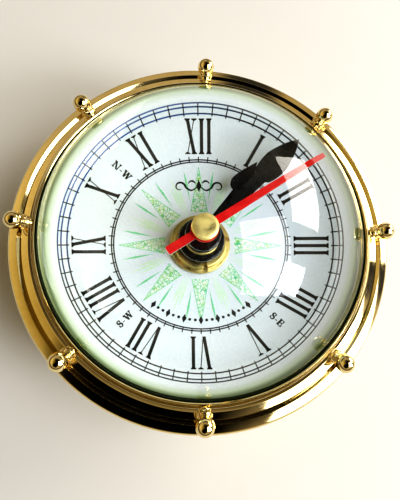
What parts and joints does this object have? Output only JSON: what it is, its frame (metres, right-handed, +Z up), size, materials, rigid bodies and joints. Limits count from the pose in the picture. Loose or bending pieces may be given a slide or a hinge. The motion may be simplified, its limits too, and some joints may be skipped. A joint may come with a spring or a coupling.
{
  "type": "desk clock",
  "caption": "Round brass desk clock that lies face up: solid glass dome, ship's-wheel bezel with baluster handles, compass dial, quartz movement and setting knob.",
  "frame": {"origin": "centre of the felt foot's underside, on the hand arbors' common axis", "axes": "+Z up out of the dial along the hand arbors, +Y towards the dial's XII, +X towards its III"},
  "size_m": [0.108, 0.108, 0.0626],
  "materials": {
    "polished_brass": "polished and lacquered",
    "turned_brass": "fine turned",
    "clear_glass": "clear, a little green through its edge",
    "dial_white": "matt white with printed black and pale green",
    "black_lacquer": "satin black lacquer",
    "red_lacquer": "red lacquer",
    "black_plastic": "fine textured",
    "white_plastic": "moulded",
    "ferrite": "plastic-bonded ferrite",
    "black_rubber": "matt",
    "green_felt": "pressed wool felt",
    "steel": "nickel plated",
    "copper_wire": "enamelled copper wire",
    "circuit_green": "solder resist",
    "battery_wrap": "printed foil wrap"
  },
  "bodies": {
    "clock": {"bezel_ring": "polished_brass", "case_body": "turned_brass", "glass_dome": "clear_glass", "glass_seal": "black_rubber", "felt_foot": "green_felt", "dial_plate": "dial_white", "threaded_bush": "turned_brass", "rubber_washer": "black_rubber", "dial_nut": "turned_brass", "movement_back": "black_plastic", "movement_front": "black_plastic", "middle_plate": "white_plastic", "battery": "battery_wrap", "battery_contact_positive": "steel", "battery_contact_negative": "steel", "coil_core": "steel", "coil_bobbin": "white_plastic", "coil_winding": "copper_wire", "stator": "steel", "circuit_board": "circuit_green", "quartz_crystal": "steel", "handle_1": "polished_brass", "handle_2": "polished_brass", "handle_3": "polished_brass", "handle_4": "polished_brass", "handle_5": "polished_brass", "handle_6": "polished_brass", "handle_7": "polished_brass", "handle_8": "polished_brass"},
    "seconds": {"second_wheel": "white_plastic", "second_hand": "red_lacquer", "second_hand_cap": "polished_brass"},
    "rotor": {"rotor": "ferrite"},
    "intermediate": {"intermediate_wheel": "white_plastic"},
    "third": {"third_wheel": "white_plastic"},
    "centre": {"centre_wheel": "white_plastic"},
    "minutes": {"cannon_pinion": "turned_brass", "minute_hand": "black_lacquer"},
    "motion": {"motion_wheel": "white_plastic"},
    "hours": {"hour_wheel": "turned_brass", "hour_hand": "black_lacquer", "hour_hand_collet": "turned_brass"},
    "setting": {"setting_knob": "black_plastic"}
  },
  "joints": [
    {"name": "second_hand_turn", "type": "hinge", "parent": "clock", "child": "seconds", "pos_m": [0, 0, 0.032], "axis": [0, 0, -1], "continuous": true},
    {"name": "intermediate_turn", "type": "hinge", "parent": "clock", "child": "intermediate", "pos_m": [-0.0072, 0, 0.008], "axis": [0, 0, -1], "continuous": true},
    {"name": "rotor_turn", "type": "hinge", "parent": "clock", "child": "rotor", "pos_m": [-0.01326, 0.0035, 0.008], "axis": [0, 0, -1], "continuous": true},
    {"name": "third_turn", "type": "hinge", "parent": "clock", "child": "third", "pos_m": [0, 0.0085, 0.012], "axis": [0, 0, -1], "continuous": true},
    {"name": "centre_turn", "type": "hinge", "parent": "clock", "child": "centre", "pos_m": [0, 0, 0.015], "axis": [0, 0, -1], "continuous": true},
    {"name": "minute_hand_turn", "type": "hinge", "parent": "clock", "child": "minutes", "pos_m": [0, 0, 0.029], "axis": [0, 0, -1], "continuous": true},
    {"name": "motion_turn", "type": "hinge", "parent": "clock", "child": "motion", "pos_m": [0.00768, 0, 0.016], "axis": [0, 0, -1], "continuous": true},
    {"name": "hour_hand_turn", "type": "hinge", "parent": "clock", "child": "hours", "pos_m": [0, 0, 0.026], "axis": [0, 0, -1], "continuous": true},
    {"name": "setting_knob_turn", "type": "hinge", "parent": "clock", "child": "setting", "pos_m": [0.01536, 0, 0.0034], "axis": [0, 0, -1], "continuous": true}
  ],
  "couplings": [
    {"joint": "intermediate_turn", "follows": "second_hand_turn", "ratio": -5},
    {"joint": "rotor_turn", "follows": "second_hand_turn", "ratio": 30},
    {"joint": "third_turn", "follows": "second_hand_turn", "ratio": -0.13333},
    {"joint": "centre_turn", "follows": "second_hand_turn", "ratio": 0.016667},
    {"joint": "motion_turn", "follows": "minute_hand_turn", "ratio": -0.33333},
    {"joint": "hour_hand_turn", "follows": "minute_hand_turn", "ratio": 0.083333},
    {"joint": "setting_knob_turn", "follows": "minute_hand_turn", "ratio": 1}
  ]
}
